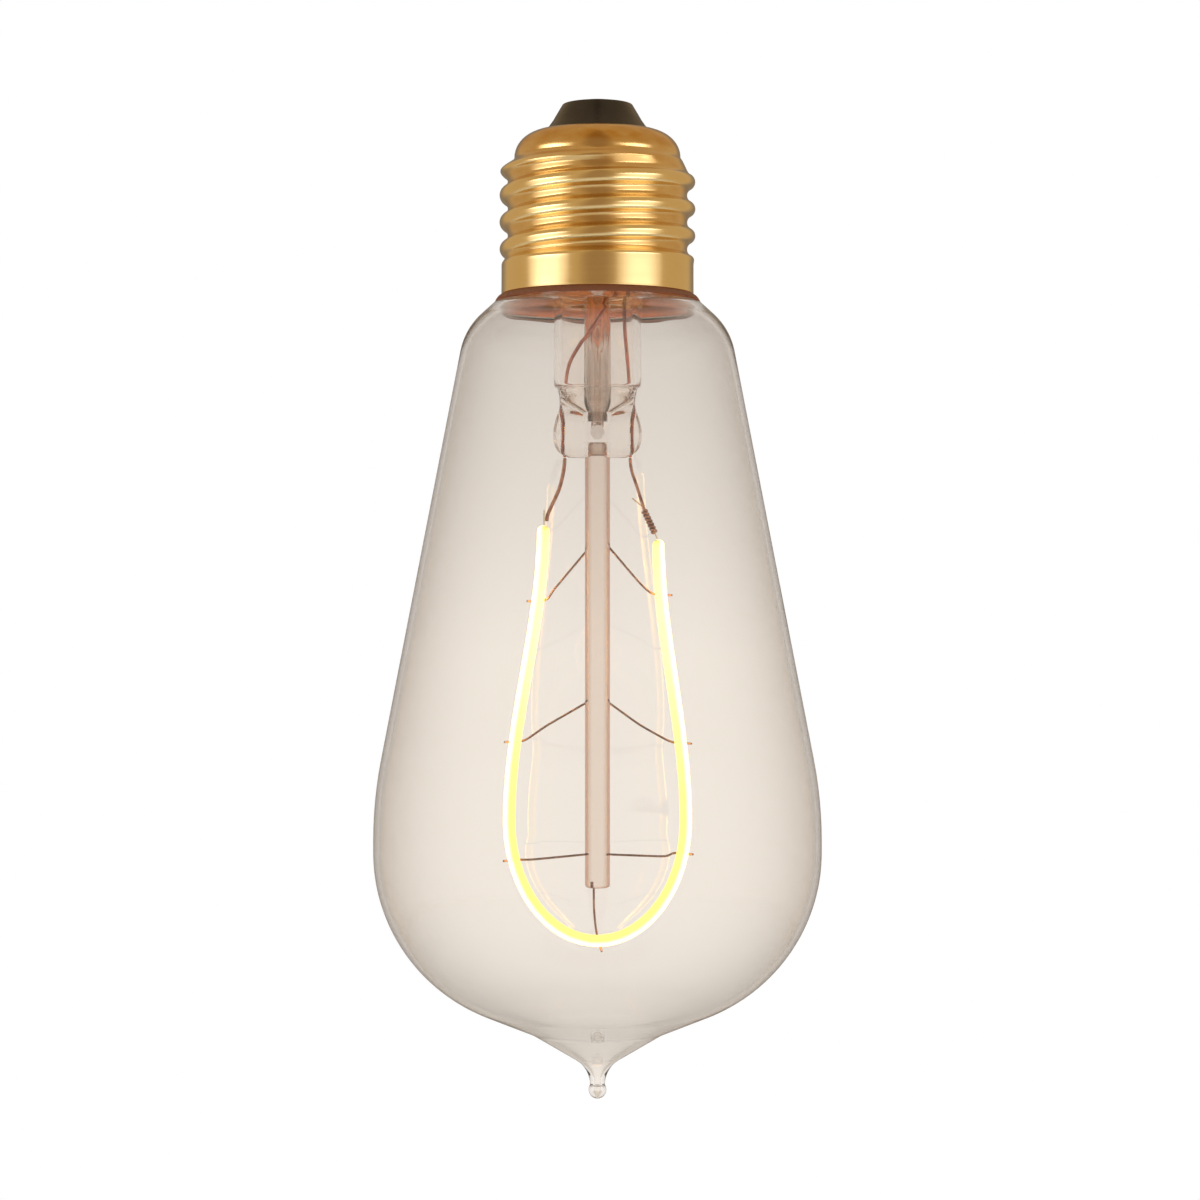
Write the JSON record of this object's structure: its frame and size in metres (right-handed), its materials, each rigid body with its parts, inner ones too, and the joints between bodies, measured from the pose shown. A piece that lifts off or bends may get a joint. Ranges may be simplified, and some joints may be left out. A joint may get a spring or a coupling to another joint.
{
  "type": "filament lamp",
  "caption": "Pear-shaped clear glass lamp with a drawn tip, a brass screw cap, a glass stem and a flexible LED filament hung on wire hooks.",
  "frame": {"origin": "centre of the centre contact's flat face, at the top of the cap", "axes": "+Z along the lamp's axis out of the cap, so the glass hangs towards -Z; +X to the right as pictured; -Y faces the camera"},
  "size_m": [0.0604, 0.0604, 0.1344],
  "materials": {
    "brass": "bright rolled sheet",
    "insulator": "moulded, near black",
    "contact": "pressed and tinned",
    "cement": "baked capping cement",
    "envelope_glass": "clear, blown",
    "stem_glass": "clear, flame worked",
    "outer_lead": "bare copper wire",
    "seal_wire": "red oxide copper in glass",
    "inner_lead": "drawn nickel wire",
    "hook_wire": "drawn wire",
    "strip": "flexible circuit strip",
    "chips": "bare chips",
    "coating": "phosphor silicone, lit",
    "tab": "stamped",
    "board": "solder mask",
    "capacitor_sleeve": "shrink sleeve",
    "package": "moulded package",
    "fuse_body": "lacquered",
    "sleeve": "woven glass sleeve",
    "tinned_wire": "tinned",
    "solder": "bright solder"
  },
  "bodies": {
    "root": {"screw_shell": "brass", "insulator": "insulator", "centre_contact": "contact", "cement_ring": "cement", "glass_envelope": "envelope_glass", "stem_flare": "stem_glass", "exhaust_tube": "stem_glass", "support_rod": "stem_glass", "outer_lead_left": "outer_lead", "outer_lead_right": "outer_lead", "seal_wire_left": "seal_wire", "seal_wire_right": "seal_wire", "inner_lead_left": "inner_lead", "inner_lead_right": "inner_lead", "hook_upper_left": "hook_wire", "hook_upper_right": "hook_wire", "hook_middle_left": "hook_wire", "hook_middle_right": "hook_wire", "hook_lower_left": "hook_wire", "hook_lower_right": "hook_wire", "hook_bottom": "hook_wire", "filament_strip": "strip", "filament_chips": "chips", "filament_coating": "coating", "filament_tab_left": "tab", "filament_tab_right": "tab", "driver_board": "board", "capacitor": "capacitor_sleeve", "rectifier": "package", "driver_chip": "package", "chip_resistors": "package", "fuse_resistor": "fuse_body", "fuse_sleeve": "sleeve", "contact_lead": "tinned_wire", "shell_lead": "tinned_wire", "shell_solder": "solder"}
  },
  "joints": []
}
